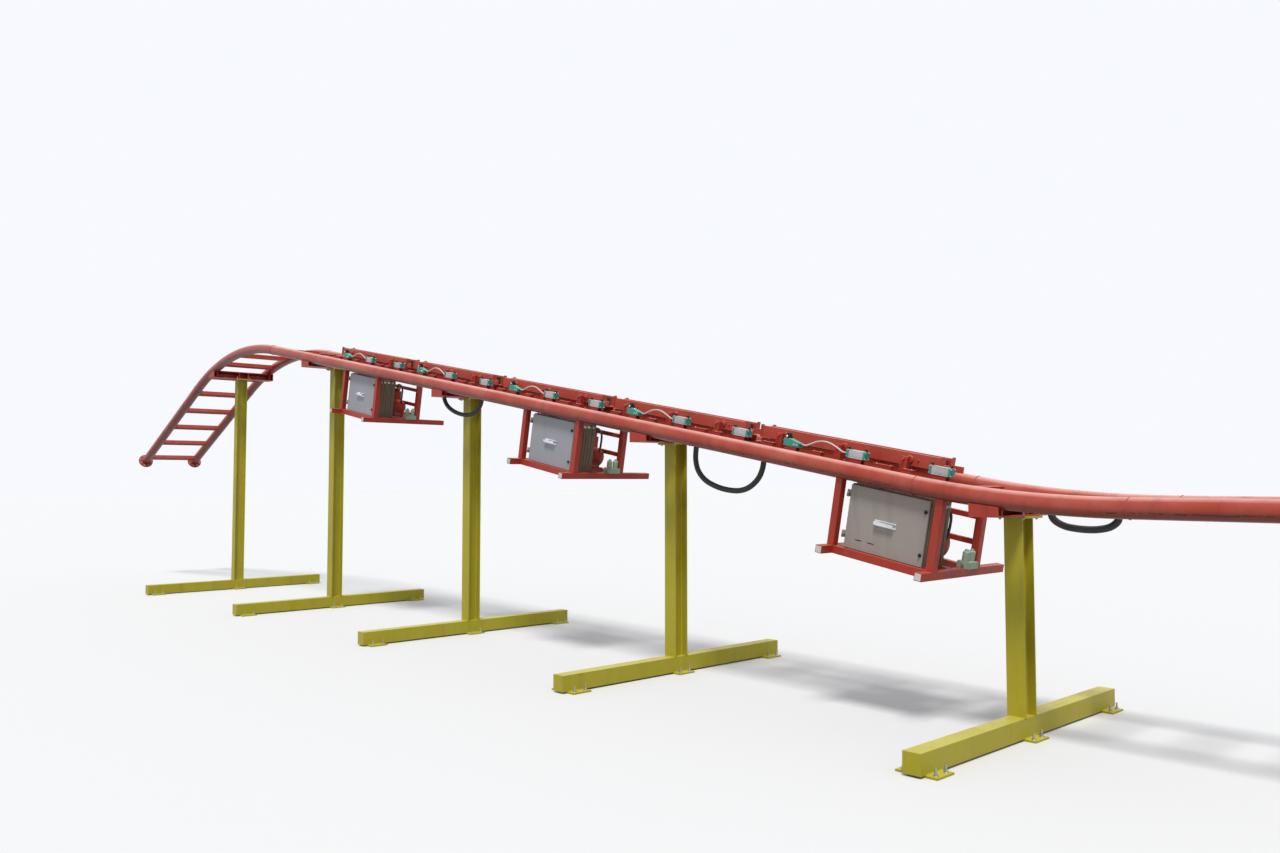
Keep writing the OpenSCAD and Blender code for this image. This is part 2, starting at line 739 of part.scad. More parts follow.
module at_hinges() {
    for (side = [-1, 1]) translate([hinge_axis_x, hinge_axis_y, cabinet_mid_z + side * hinge_z]) children();
}

module cabinet(i) {
    color(paint_brown) on_track(cradle_d(i)) {
        translate([-cabinet_w / 2, cabinet_front, stand_z]) difference() {
            cube([cabinet_w, cabinet_d, cabinet_h]);
            translate([cabinet_wall, -cut, cabinet_wall])
                cube([cabinet_w - 2 * cabinet_wall, cabinet_d - cabinet_wall + cut,
                      cabinet_h - 2 * cabinet_wall]);
        }
        for (k = [1:rib_count])
            translate([cabinet_w / 2 - cut, rib_y(k) - rib_w / 2, stand_z + gland_drop / 2])
            cube([rib_proud + cut, rib_w, cabinet_h - 2 * gland_drop]);
        at_hinges() difference() {
            union() {
                cylinder(r = hinge_lug_r, h = hinge_lug_h, center = true);
                translate([-hinge_lug_r, 0, -hinge_lug_h / 2])
                    cube([2 * hinge_lug_r + cut, cabinet_front - hinge_axis_y + 30, hinge_lug_h]);
            }
            cylinder(r = hinge_pin_d / 2 + hinge_clearance, h = hinge_lug_h + 2 * cut, center = true);
        }
    }
}

// Only the lowest cabinet's door has vent slots
module door(i) {
    width = cabinet_w - 2 * door_border;
    height = cabinet_h - 2 * door_border;
    knuckle_z = hinge_lug_h / 2 + 1;
    color(paint_grey) on_track(cradle_d(i)) {
        translate([-width / 2, -door_face_y, cabinet_mid_z - height / 2]) difference() {
            cube([width, door_t, height]);
            translate([door_t, cabinet_wall, door_t])
                cube([width - 2 * door_t, door_t, height - 2 * door_t]);
            if (i == 1) for (x = VENT_XS) translate([width * x, -cut, vent_z])
                cube([vent_len, door_t + 2 * cut, vent_h]);
        }
        at_hinges() {
            translate([0, 0, -hinge_lug_h / 2 - 2])
                cylinder(d = hinge_pin_d, h = knuckle_z + hinge_lug_h / 2 + 3);
            translate([0, 0, knuckle_z]) cylinder(r = hinge_lug_r - 2, h = hinge_knuckle_h);
            translate([0, 0, knuckle_z]) cube([hinge_lug_r + door_border + cut, 9, hinge_knuckle_h]);
        }
    }
}

module handle(i) {
    color(steel) on_track(cradle_d(i)) translate([0, -door_face_y, cabinet_mid_z]) {
        translate([-handle_len / 2, -6, -handle_h / 2]) cube([handle_len, 6, handle_h]);
        translate([-handle_len / 2 + 20, -6, 0]) rotate([90, 0, 0]) cylinder(d = 24, h = 16);
        translate([-handle_len / 2 + 8, -34, -10]) cube([handle_len - 20, 14, 20]);
    }
}

// A tank with domed ends along X, centred
module tank(d, length, dome) {
    steps = 5;
    outline = [for (k = [0:steps]) let (a = 90 * k / steps) [d / 2 * sin(a), -length / 2 - dome * cos(a)]];
    rotate([0, 90, 0]) rotate_extrude()
        polygon(concat(outline, [for (k = [steps:-1:0]) [outline[k].x, -outline[k].y]]));
}

module air_receiver(i) {
    motor_z = receiver_z + receiver_d / 2 + motor_d / 2 - 10;
    color(paint_red) on_track(cradle_d(i)) translate([0, receiver_y, 0]) {
        translate([0, 0, receiver_z]) tank(receiver_d, receiver_len, receiver_dome);
        for (side = [-1, 1]) translate([side * receiver_len * 0.35 - 20, 0, 0]) {
            translate([0, -receiver_d / 2, stand_z]) cube([40, receiver_d, receiver_z - stand_z]);
            translate([0, cabinet_back + 5 - receiver_y, stand_z])
                cube([40, far_post_y - cabinet_back - 5, 10]);
        }
        translate([-motor_len / 2, 0, motor_z]) rotate([0, 90, 0]) {
            cylinder(d = motor_d, h = motor_len);
            for (k = [1:fin_count]) translate([0, 0, k * motor_len / (fin_count + 1) - fin_t / 2])
                cylinder(d = motor_d + 2 * fin_h, h = fin_t);
        }
        translate([motor_len / 2 - cut, -pump_head_d / 2, motor_z - motor_d / 2])
            cube([pump_head_d, pump_head_d, motor_d]);
        translate([motor_len / 2 + pump_head_d / 2 - cut, 0, motor_z + motor_d / 2 - cut]) {
            cylinder(d = pump_head_d - 2 * fin_h, h = 6 * fin_t);
            for (k = [1, 3, 5]) translate([0, 0, k * fin_t]) cylinder(d = pump_head_d, h = fin_t);
        }
    }
}

module cabinet_glands() {
    color(off_white) for (i = CRADLES) on_track(cradle_d(i))
        for (k = [1:gland_count])
            translate([cabinet_w / 2 + weld_gap, cabinet_front + k * cabinet_d / (gland_count + 1),
                       cabinet_top - gland_drop])
            rotate([0, 90, 0]) cylinder(d = gland_d, h = gland_len);
}

// Tabs on the near rail, each with the gland that holds one end of a cable loop
module cable_tabs() {
    color(black) for (spec = CABLE_LOOPS) on_track(spec[0]) for (x = [spec[1][0].x, -spec[1][0].x])
        translate([x, 0, 0]) {
            difference() {
                translate([-cable_gland_d / 2, -gauge / 2, -cable_tab_t / 2])
                    cube([cable_gland_d, gauge / 2 - cable_y + cable_gland_d / 2, cable_tab_t]);
                rail_room(2 * cable_gland_d);
            }
            translate([0, -cable_y, -cable_tab_t / 2 - cable_gland_len])
                cylinder(d = cable_gland_d, h = cable_gland_len + cut);
        }
}

module cable_loop(i) {
    spec = CABLE_LOOPS[i - 1];
    color(black) on_track(spec[0]) translate([0, -cable_y, 0]) tube(spec[1], cable_d);
}

rail(-1);  // near_rail
rail(1);  // far_rail
rail_flanges();
cross_ties();
saddles();
equipment_shelf();
for (i = SUPPORTS) support(i);
for (i = BRAKES) carrier(i);
for (i = BRAKES) jaw(i, -1);
for (i = BRAKES) jaw(i, 1);
cylinder_barrels();
cylinder_caps();
valve_bodies();
for (i = BRAKES) air_hose(i);
for (i = CRADLES) cradle(i);
for (i = CRADLES) cabinet(i);
for (i = CRADLES) door(i);
for (i = CRADLES) handle(i);
for (i = CRADLES) air_receiver(i);
cabinet_glands();
cable_tabs();
for (i = CRADLES) cable_loop(i);
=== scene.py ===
"""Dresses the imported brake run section: materials, bolts, welds, cables and small fittings.

Metres, in the row frame: X runs along the track downhill, Y towards the far rail, Z up.
"""
import math

import bmesh
import bpy
from mathutils import Matrix, Vector


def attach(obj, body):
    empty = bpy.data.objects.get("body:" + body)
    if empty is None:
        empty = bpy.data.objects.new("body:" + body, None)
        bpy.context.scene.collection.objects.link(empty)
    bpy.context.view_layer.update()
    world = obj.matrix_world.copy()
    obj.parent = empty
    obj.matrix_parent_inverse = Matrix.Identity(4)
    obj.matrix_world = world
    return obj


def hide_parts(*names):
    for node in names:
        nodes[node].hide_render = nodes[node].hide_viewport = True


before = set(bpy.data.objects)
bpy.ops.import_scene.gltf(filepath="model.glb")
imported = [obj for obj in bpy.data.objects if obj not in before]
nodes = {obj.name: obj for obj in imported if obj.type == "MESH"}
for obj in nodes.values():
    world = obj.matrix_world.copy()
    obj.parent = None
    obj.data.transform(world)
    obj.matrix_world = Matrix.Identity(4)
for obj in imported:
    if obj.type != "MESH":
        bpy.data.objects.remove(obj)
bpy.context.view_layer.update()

# The track's line, as in the part's source
SLOPE = math.radians(10.3)
ENTRY = math.radians(25.2)
LEVEL_Z = 1.66
LEVEL_END_X = 7.9
LEVEL_LEN = 1.37
PULL_OUT_R = 8.5
SLOPE_LEN = 11.2
CREST_R = 5.0
ENTRY_LEN = 2.84
GAUGE = 0.9
RAIL_R = 0.07
TIE_TOP = 0.03
SUPPORT_PITCH = 3.47

WELD_GAP = 0.0003
TIE_W = 0.08
TIE_PITCH = 0.65
TIE_BESIDE_SUPPORT = 0.3
TIE_END_MARGIN = 0.15

SUPPORTS = range(1, 6)
COLUMN_W, CREST_COLUMN_W, COLUMN_D = 0.14, 0.11, 0.165
BASE_W, BASE_TOP = 0.13, 0.155
FOOT_YS, FOOT_T = (-1.3, 0.0, 1.3), 0.015
ANCHOR_X, ANCHOR_Y = 0.23, 0.12
SUPPORT_DROP, CAP_T = 0.135, 0.015
SADDLE_PLATE = 0.012

BRAKES = range(1, 6)
CRADLES = range(1, 4)
DECK_Z = TIE_TOP + WELD_GAP
SHELF_TOP = DECK_Z + 0.008
GEAR_Z = SHELF_TOP + 0.048 + WELD_GAP
JAW_LEN, JAW_Z, JAW_H = 1.8, 0.1, 0.1
JAW_FACE_Y, JAW_BACK_Y = 0.03, 0.088
GUIDE_XS = (-0.62, 0.0, 0.62)
VALVE_X = -0.4
CYLINDER_XS = (0.25, 1.0)
BARREL_LEN, END_CAP, END_CAP_LEN = 0.14, 0.068, 0.018
CYLINDER_Z = GEAR_Z + END_CAP / 2
POST_X = 0.44
BEARER_Z = -0.65
TUBE_SIDE = 0.06
BEARER_NEAR, BEARER_FAR = 0.62, 0.58
CABINET_Z = BEARER_Z + TUBE_SIDE + WELD_GAP
CABINET_W, CABINET_H = 0.7, 0.5
DOOR_Y = -0.435
CABINET_FRONT, CABINET_BACK = -0.412, -0.144
HINGE_Z = 0.16
RECEIVER_Y, RECEIVER_Z, RECEIVER_R = 0.01, CABINET_Z + 0.13, 0.1
MOTOR_Z, MOTOR_R, MOTOR_LEN = RECEIVER_Z + 0.15, 0.06, 0.2
BRAKE_FIRST, BRAKE_PITCH = 0.92, 1.975
CRADLE_FIRST, CRADLE_PITCH = 0.215, 4.095
GEAR_Y = -0.255
CABLE_Y = -0.3
LOOP_1_BELOW, LOOP_2_ABOVE = 0.255, 0.485

FOOT_X = LEVEL_END_X - PULL_OUT_R * math.sin(SLOPE)
FOOT_Z = LEVEL_Z + PULL_OUT_R * (1 - math.cos(SLOPE))
TOP_X = FOOT_X - SLOPE_LEN * math.cos(SLOPE)
TOP_Z = FOOT_Z + SLOPE_LEN * math.sin(SLOPE)
CREST_X = TOP_X - CREST_R * math.sin(SLOPE)
CREST_Z = TOP_Z - CREST_R * math.cos(SLOPE)
D_LEVEL = LEVEL_LEN
D_FOOT = D_LEVEL + PULL_OUT_R * SLOPE
D_TOP = D_FOOT + SLOPE_LEN
D_CREST = D_TOP + CREST_R * (SLOPE + ENTRY)
D_END = D_CREST + ENTRY_LEN


def track_frame(d):
    """X, Z and downhill tilt of the track's centreline at a distance from its low end."""
    if d < D_LEVEL:
        return LEVEL_END_X + LEVEL_LEN - d, LEVEL_Z, 0.0
    if d < D_FOOT:
        a = (d - D_LEVEL) / PULL_OUT_R
        return LEVEL_END_X - PULL_OUT_R * math.sin(a), LEVEL_Z + PULL_OUT_R * (1 - math.cos(a)), a
    if d < D_TOP:
        s = d - D_FOOT
        return FOOT_X - s * math.cos(SLOPE), FOOT_Z + s * math.sin(SLOPE), SLOPE
    if d < D_CREST:
        a = SLOPE - (d - D_TOP) / CREST_R
        return CREST_X + CREST_R * math.sin(a), CREST_Z + CREST_R * math.cos(a), a
    s = d - D_CREST
    x = CREST_X - CREST_R * math.sin(ENTRY) - s * math.cos(ENTRY)
    return x, CREST_Z + CREST_R * math.cos(ENTRY) - s * math.sin(ENTRY), -ENTRY


def on_track(d):
    """Matrix that puts a point given along, across and above the track into the row frame."""
    x, z, tilt = track_frame(d)
    return Matrix.Translation((x, 0, z)) @ Matrix.Rotation(tilt, 4, "Y")


def track_d(x):
    """Distance along the track of the point at a given X."""
    if x > LEVEL_END_X:
        return LEVEL_END_X + LEVEL_LEN - x
    if x > FOOT_X:
        return D_LEVEL + PULL_OUT_R * math.asin((LEVEL_END_X - x) / PULL_OUT_R)
    if x > TOP_X:
        return D_FOOT + (FOOT_X - x) / math.cos(SLOPE)
    return D_TOP + CREST_R * (SLOPE - math.asin((x - CREST_X) / CREST_R))


def support_x(i):
    return (3 - i) * SUPPORT_PITCH


def support_d(i):
    return track_d(support_x(i))


def spread(low, high):
    n = math.ceil((high - low) / TIE_PITCH)
    return [low + k * (high - low) / n for k in range(n + 1)]


def bays():
    """The stretches of track between the supports, as lists of the ties' distances."""
    ends = [TIE_END_MARGIN]
    for i in SUPPORTS:
        ends += [support_d(i) - TIE_BESIDE_SUPPORT, support_d(i) + TIE_BESIDE_SUPPORT]
    ends.append(D_END - TIE_END_MARGIN)
    return [spread(low, high) for low, high in zip(ends[::2], ends[1::2])]


def tie_distances():
    beams = [D_FOOT + CRADLE_FIRST + (i - 1) * CRADLE_PITCH + side * POST_X
             for i in CRADLES for side in (-1, 1)]
    clear = TIE_W / 2 + TUBE_SIDE / 2 + 0.01
    return [d for bay in bays() for d in bay if min(abs(d - beam) for beam in beams) > clear]


def brake(i):
    return on_track(D_FOOT + BRAKE_FIRST + (i - 1) * BRAKE_PITCH)


def cradle(i):
    return on_track(D_FOOT + CRADLE_FIRST + (i - 1) * CRADLE_PITCH)


# Camera
scene = bpy.context.scene
camera_data = bpy.data.cameras.new("camera")
camera = bpy.data.objects.new("camera", camera_data)
scene.collection.objects.link(camera)
camera.location = (10.50, -7.125, 1.84)
VIEW_DIRECTION = Vector((-0.7266, 0.687, 0.0513))
camera.rotation_euler = VIEW_DIRECTION.to_track_quat("-Z", "Y").to_euler()
camera_data.sensor_width = 36
camera_data.lens = 29.05
camera_data.clip_end = 400
scene.camera = camera
scene.view_settings.view_transform = "Standard"


# Materials

class Nodes:
    """Short calls for building a material's node tree."""

    def __init__(self, name):
        self.material = bpy.data.materials.new(name)
        self.material.use_nodes = True
        self.tree = self.material.node_tree
        self.bsdf = self.tree.nodes["Principled BSDF"]

    def add(self, kind, **values):
        node = self.tree.nodes.new(kind)
        for key, value in values.items():
            setattr(node, key, value)
        return node

    def link(self, a, b):
        self.tree.links.new(a, b)

    def coordinates(self, stretch=(1, 1, 1)):
        texture = self.add("ShaderNodeTexCoord")
        mapping = self.add("ShaderNodeMapping")
        mapping.inputs["Scale"].default_value = stretch
        self.link(texture.outputs["Object"], mapping.inputs["Vector"])
        return mapping.outputs["Vector"]

    def noise(self, scale, detail=4.0, roughness=0.55, stretch=(1, 1, 1)):
        node = self.add("ShaderNodeTexNoise")
        node.inputs["Scale"].default_value = scale
        node.inputs["Detail"].default_value = detail
        node.inputs["Roughness"].default_value = roughness
        self.link(self.coordinates(stretch), node.inputs["Vector"])
        return node.outputs["Fac"]

    def spread(self, value, low, high, out_low=0.0, out_high=1.0):
        node = self.add("ShaderNodeMapRange")
        node.inputs["From Min"].default_value = low
        node.inputs["From Max"].default_value = high
        node.inputs["To Min"].default_value = out_low
        node.inputs["To Max"].default_value = out_high
        self.link(value, node.inputs["Value"])
        return node.outputs["Result"]

    def math(self, operation, a, b):
        node = self.add("ShaderNodeMath", operation=operation)
        for k, value in enumerate((a, b)):
            if isinstance(value, (int, float)):
                node.inputs[k].default_value = value
            else:
                self.link(value, node.inputs[k])
        return node.outputs["Value"]

    def mix(self, factor, a, b):
        node = self.add("ShaderNodeMix", data_type="RGBA")
        for socket, value in ((node.inputs[0], factor), (node.inputs[6], a), (node.inputs[7], b)):
            if isinstance(value, (int, float)):
                socket.default_value = value
            elif isinstance(value, tuple):
                socket.default_value = (*value, 1.0)
            else:
                self.link(value, socket)
        return node.outputs[2]

    def facing_up(self):
        geometry = self.add("ShaderNodeNewGeometry")
        split = self.add("ShaderNodeSeparateXYZ")
        self.link(geometry.outputs["Normal"], split.inputs["Vector"])
        return split.outputs["Z"]

    def bump(self, height, strength, distance=0.002):
        node = self.add("ShaderNodeBump")
        node.inputs["Strength"].default_value = strength
        node.inputs["Distance"].default_value = distance
        self.link(height, node.inputs["Height"])
        self.link(node.outputs["Normal"], self.bsdf.inputs["Normal"])

    def colour(self, value):
        self.link(value, self.bsdf.inputs["Base Color"])

    def roughness(self, value):
        self.link(value, self.bsdf.inputs["Roughness"])


TOP_FADE_AND_HIGHLIGHT = 0.85
LOWER_LINE_BLACK = (0.02, 0.008, 0.006)


def paint(name, base, faded_and_highlit, dirt_and_shade, wear=0.35, chips=None, lower_line=0.0, gloss=0.0, crown=0.2):
    """Old outdoor paint: paler where it faces the sky, as sun-faded paint and also a painted highlight,
    darker underneath as painted shade, streaked with dirt, and chipped here and there. lower_line is the
    strength of a broken dark line along the lower side of a tube, gloss takes from the roughness, and the
    paling starts where the upward part of the normal is crown."""
    m = Nodes(name)
    blotch = m.noise(2.3, 5, 0.6)
    streak = m.noise(9.0, 4, 0.6, (1, 1, 0.12))
    grain = m.noise(60, 3, 0.6)
    # Paler towards the top: sun-faded paint and also a painted highlight, which crown narrows to a top strip.
    up = m.spread(m.facing_up(), crown, 0.92, 0.0, TOP_FADE_AND_HIGHLIGHT)
    fade_and_highlight = m.math("MULTIPLY", up, m.spread(blotch, 0.3, 0.7, 0.6, 1.0))
    colour = m.mix(m.spread(blotch, 0.4, 0.7, 0.0, 0.16), base, faded_and_highlit)
    colour = m.mix(fade_and_highlight, colour, faded_and_highlit)
    # Painted shade: darker on faces turned down, mixed towards the third colour, which also serves as dirt in
    # the streaks and chips.
    painted_under_shade = m.spread(m.facing_up(), -0.75, -0.1, 0.75, 0.0)
    colour = m.mix(painted_under_shade, colour, dirt_and_shade)
    # A broken dark line along the lower side of a tube.
    if lower_line:
        edge = m.noise(5.0, 6, 0.75, (1, 0.2, 0.2))
        wander = m.spread(edge, 0.3, 0.7, 0.28, 0.52)
        off_line = m.math("ABSOLUTE", m.math("ADD", m.facing_up(), wander), 0)
        line = m.math("MULTIPLY", m.spread(off_line, 0.05, 0.09, lower_line, 0.0), m.spread(edge, 0.5, 0.56))
        colour = m.mix(line, colour, LOWER_LINE_BLACK)
    colour = m.mix(m.math("MULTIPLY", m.spread(streak, 0.52, 0.75), wear), colour, dirt_and_shade)
    speck = m.noise(38, 5, 0.7)
    colour = m.mix(m.spread(speck, 0.66, 0.7, 0.0, 0.8), colour, chips or dirt_and_shade)
    m.colour(colour)
    m.roughness(m.spread(grain, 0.3, 0.7, 0.38 - gloss, 0.6 - gloss))
    m.bump(m.math("ADD", grain, speck), 0.25, 0.0015)
    m.bsdf.inputs["Specular IOR Level"].default_value = 0.4
    return m.material


def bare_metal(name, colour, rough=(0.3, 0.5)):
    m = Nodes(name)
    grain = m.noise(90, 4, 0.6)
    blotch = m.noise(6, 4, 0.6)
    m.colour(m.mix(m.spread(blotch, 0.4, 0.75, 0.0, 0.5), colour, tuple(c * 0.55 for c in colour)))
    m.roughness(m.spread(grain, 0.3, 0.7, *rough))
    m.bump(grain, 0.12, 0.0006)
    m.bsdf.inputs["Metallic"].default_value = 0.9
    return m.material


def plastic(name, colour, dust, rough=(0.45, 0.65)):
    m = Nodes(name)
    grain = m.noise(120, 3, 0.5)
    blotch = m.noise(8, 4, 0.6)
    up = m.spread(m.facing_up(), 0.2, 1.0, 0.0, 0.35)
    tint = m.mix(m.spread(blotch, 0.4, 0.7, 0.0, 0.35), colour, dust)
    m.colour(m.mix(up, tint, dust))
    m.roughness(m.spread(grain, 0.3, 0.7, *rough))
    m.bump(grain, 0.15, 0.0005)
    return m.material


# For each paint below, the third colour serves as dirt and as the painted shade on undersides; on the rails
# the pale top strip is sun-faded paint and a painted highlight.
rail_red = paint("rail_red", (0.37, 0.040, 0.018), (0.80, 0.40, 0.33), (0.10, 0.009, 0.006), 0.3, lower_line=0.85,
                 gloss=0.12, crown=0.6)
frame_red = paint("frame_red", (0.38, 0.030, 0.014), (0.50, 0.10, 0.06), (0.10, 0.011, 0.008), 0.4)
jaw_red = paint("jaw_red", (0.46, 0.055, 0.030), (0.62, 0.19, 0.135), (0.16, 0.02, 0.013), 0.3)
yellow = paint("yellow", (0.40, 0.34, 0.012), (0.58, 0.52, 0.08), (0.20, 0.16, 0.012), 0.3,
               chips=(0.20, 0.12, 0.03))
door_grey = paint("door_grey", (0.32, 0.33, 0.36), (0.42, 0.43, 0.46), (0.18, 0.16, 0.14), 0.2)
door_beige = paint("door_beige", (0.32, 0.28, 0.25), (0.42, 0.38, 0.34), (0.17, 0.13, 0.10), 0.3)
# The cabinet body's dark brown is the colour of its side where it stands in shade, so this darkness is
# painted shade.
shaded_side_brown = paint("shaded_side_brown", (0.17, 0.125, 0.08), (0.24, 0.19, 0.13), (0.08, 0.055, 0.035), 0.4)
teal_paint = paint("teal_paint", (0.045, 0.31, 0.25), (0.13, 0.43, 0.36), (0.04, 0.10, 0.085), 0.3)
pale_green = paint("pale_green", (0.30, 0.42, 0.30), (0.42, 0.50, 0.40), (0.12, 0.15, 0.10), 0.35)
cap_white = paint("cap_white", (0.62, 0.58, 0.54), (0.74, 0.72, 0.68), (0.30, 0.24, 0.20), 0.3)
black_paint = paint("black_paint", (0.012, 0.012, 0.013), (0.05, 0.05, 0.052), (0.03, 0.025, 0.02), 0.3)
aluminium = bare_metal("aluminium", (0.50, 0.53, 0.53))
zinc = bare_metal("zinc", (0.42, 0.43, 0.44), (0.35, 0.6))
bright = bare_metal("bright", (0.72, 0.73, 0.74), (0.18, 0.32))
white_hose = plastic("white_hose", (0.62, 0.62, 0.58), (0.38, 0.34, 0.28))
black_hose = plastic("black_hose", (0.010, 0.010, 0.011), (0.05, 0.045, 0.04))
lining_dark = plastic("lining_dark", (0.035, 0.03, 0.028), (0.09, 0.07, 0.06), (0.7, 0.9))

NODE_MATERIALS = {
    "near_rail": rail_red, "far_rail": rail_red, "rail_flanges": frame_red, "cross_ties": frame_red,
    "saddles": frame_red, "equipment_shelf": frame_red, "support": yellow, "carrier": frame_red,
    "jaw": jaw_red, "cylinder_barrels": aluminium, "cylinder_caps": teal_paint,
    "valve_bodies": teal_paint, "air_hose": white_hose, "cradle": frame_red, "cabinet": shaded_side_brown,
    "door": door_grey, "door_1": door_beige, "handle": bright, "air_receiver": frame_red,
    "cabinet_glands": white_hose, "cable_tabs": black_paint, "cable_loop": black_hose,
}


def material_of(name):
    """The material whose key is the longest start of a node's name."""
    keys = [k for k in NODE_MATERIALS if name.startswith(k)]
    return NODE_MATERIALS[max(keys, key=len)]


for name, obj in nodes.items():
    obj.data.materials.clear()
    obj.data.materials.append(material_of(name))


# Mesh helpers

def piece(name, bm, material, body, smooth=True):
    """Turns a bmesh into a piece that rides on a body."""
    bmesh.ops.recalc_face_normals(bm, faces=bm.faces)
    mesh = bpy.data.meshes.new(name)
    bm.to_mesh(mesh)
    bm.free()
    mesh.materials.append(material)
    if smooth:
        mesh.shade_smooth()
        mesh.set_sharp_from_angle(angle=math.radians(35))
    obj = bpy.data.objects.new(name, mesh)
    scene.collection.objects.link(obj)
    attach(obj, body)
    return obj


def add_loop_rings(bm, rings):
    """Joins rings of points, all of one length, into a closed skin."""
    verts = [[bm.verts.new(p) for p in ring] for ring in rings]
    n = len(verts[0])
    for a, b in zip(verts, verts[1:]):
        for k in range(n):
            bm.faces.new((a[k], a[(k + 1) % n], b[(k + 1) % n], b[k]))
    bm.faces.new(verts[0])
    bm.faces.new(verts[-1])


def turned(bm, matrix, outline, sides=20):
    """Adds a turned solid: outline is a list of (distance along the axis, radius), axis is local Z."""
    rings = []
    for z, r in outline:
        ring = []
        for k in range(sides):
            a = 2 * math.pi * k / sides
            ring.append(matrix @ Vector((r * math.cos(a), r * math.sin(a), z)))
        rings.append(ring)
    add_loop_rings(bm, rings)


def bolt(bm, matrix, size, length=None):
    """Adds a washer and hex head, seated on the local XY plane, with a stub of thread if length is given."""
    turned(bm, matrix, [(0, size), (0.12 * size, size * 1.05), (0.22 * size, size * 0.98)], 16)
    turned(bm, matrix, [(0.2 * size, 0.82 * size), (0.9 * size, 0.82 * size), (1.0 * size, 0.7 * size)], 6)
    if length:
        turned(bm, matrix, [(0.9 * size, 0.42 * size), (length, 0.42 * size),
                            (length * 1.02, 0.34 * size)], 12)


def smooth_line(points, step):
    """Points a step apart along a Catmull-Rom curve through the given ones."""
    points = [Vector(p) for p in points]
    padded = [2 * points[0] - points[1]] + points + [2 * points[-1] - points[-2]]
    line = [points[0]]
    for a, b, c, d in zip(padded, padded[1:], padded[2:], padded[3:]):
        count = max(2, round((c - b).length / step))
        for k in range(1, count + 1):
            t = k / count
            line.append(0.5 * (2 * b + (c - a) * t + (2 * a - 5 * b + 4 * c - d) * t * t
                               + (3 * b - a - 3 * c + d) * t ** 3))
    return line


def sweep(bm, line, radius_at, sides=12):
    """Adds a tube along a line. radius_at gives the radius for a ring's number."""
    previous = None
    rings = []
    for k, point in enumerate(line):
        heading = (line[min(k + 1, len(line) - 1)] - line[max(k - 1, 0)]).normalized()
        if previous is None:
            across = heading.orthogonal().normalized()
        else:
            across = (previous - heading * previous.dot(heading)).normalized()
        previous = across
        up = heading.cross(across)
        r = radius_at(k)
        rings.append([point + r * (math.cos(a) * across + math.sin(a) * up)
                      for a in (2 * math.pi * j / sides for j in range(sides))])
    add_loop_rings(bm, rings)


# Cables and hoses: their routes repeat the part's source

low_bay, first_slope_bay = bays()[:2]
CABLE_LOOPS = [
    (support_d(3) - LOOP_1_BELOW,
     [(-400, -44), (-400, -105), (-378, -172), (-310, -235), (-210, -275), (-90, -298),
      (40, -304), (170, -290), (285, -250), (365, -185), (400, -112), (400, -44)]),
    (first_slope_bay[3] + LOOP_2_ABOVE,
     [(-400, -44), (-400, -130), (-385, -215), (-335, -300), (-235, -365), (-100, -395),
      (40, -400), (180, -380), (290, -325), (370, -235), (400, -140), (400, -44)]),
    ((low_bay[-2] + low_bay[-1]) / 2,
     [(-220, -44), (-220, -84), (-190, -118), (-130, -144), (-60, -154), (20, -156),
      (90, -150), (160, -132), (204, -102), (220, -74), (220, -44)]),
]
CABLE_R = 0.025
HOSE_R = 0.007
HOSE_ROUTE = [(-300, 114.6), (-262, 114.6), (-215, 136), (-160, 161), (-95, 174), (-25, 169),
              (45, 146), (104, 120.6), (142, 120.6)]
MM = 0.001


def cable_loop(i):
    d, route = CABLE_LOOPS[i - 1]
    place = on_track(d)
    line = smooth_line([place @ Vector((x * MM, CABLE_Y, z * MM)) for x, z in route], 0.006)
    bm = bmesh.new()
    sweep(bm, line, lambda k: CABLE_R - (0.0022 if k % 2 else 0.0), 20)
    obj = piece(f"cable_loop_sheath_{i}", bm, black_hose, "track")
    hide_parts(f"cable_loop_{i}")


def air_hose(i):
    place = brake(i)
    line = smooth_line([place @ Vector((x * MM, GEAR_Y, z * MM)) for x, z in HOSE_ROUTE], 0.012)
    bm = bmesh.new()
    sweep(bm, line, lambda k: HOSE_R, 12)
    obj = piece(f"air_hose_line_{i}", bm, white_hose, "track")
    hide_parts(f"air_hose_{i}")


for i in CRADLES:
    cable_loop(i)
for i in BRAKES:
    air_hose(i)


# Bolts

def at(matrix, x, y, z):
    return matrix @ Matrix.Translation((x, y, z))


UP = Matrix.Identity(4)
DOWN = Matrix.Rotation(math.pi, 4, "X")
NEARWARD = Matrix.Rotation(math.pi / 2, 4, "X")
FARWARD = Matrix.Rotation(-math.pi / 2, 4, "X")
DOWNHILL = Matrix.Rotation(math.pi / 2, 4, "Y")
UPHILL = Matrix.Rotation(-math.pi / 2, 4, "Y")


def block(bm, matrix, low, high):
    """Adds a box between two corners."""
    low, high = Vector(low), Vector(high)
    size = Matrix.Diagonal((*(high - low), 1))
    bmesh.ops.create_cube(bm, size=1, matrix=matrix @ Matrix.Translation((low + high) / 2) @ size)


def flange_bolts():
    bm = bmesh.new()
    pitch_r, count = 0.0975, 8
    for end in (on_track(0) @ UPHILL, on_track(D_END) @ DOWNHILL):
        for side in (-1, 1):
            for k in range(count):
                a = 2 * math.pi * (k + 0.5) / count
                bolt(bm, at(end, pitch_r * math.cos(a), side * GAUGE / 2 + pitch_r * math.sin(a), 0), 0.014)
    piece("flange_bolts", bm, zinc, "track")


def anchor_bolts():
    bm = bmesh.new()
    for i in SUPPORTS:
        for y in FOOT_YS:
            for dx in (-ANCHOR_X / 2, ANCHOR_X / 2):
                for dy in (-ANCHOR_Y / 2, ANCHOR_Y / 2):
                    bolt(bm, at(UP, support_x(i) + dx, y + dy, FOOT_T), 0.017, 0.05)
    piece("anchor_bolts", bm, zinc, "track")


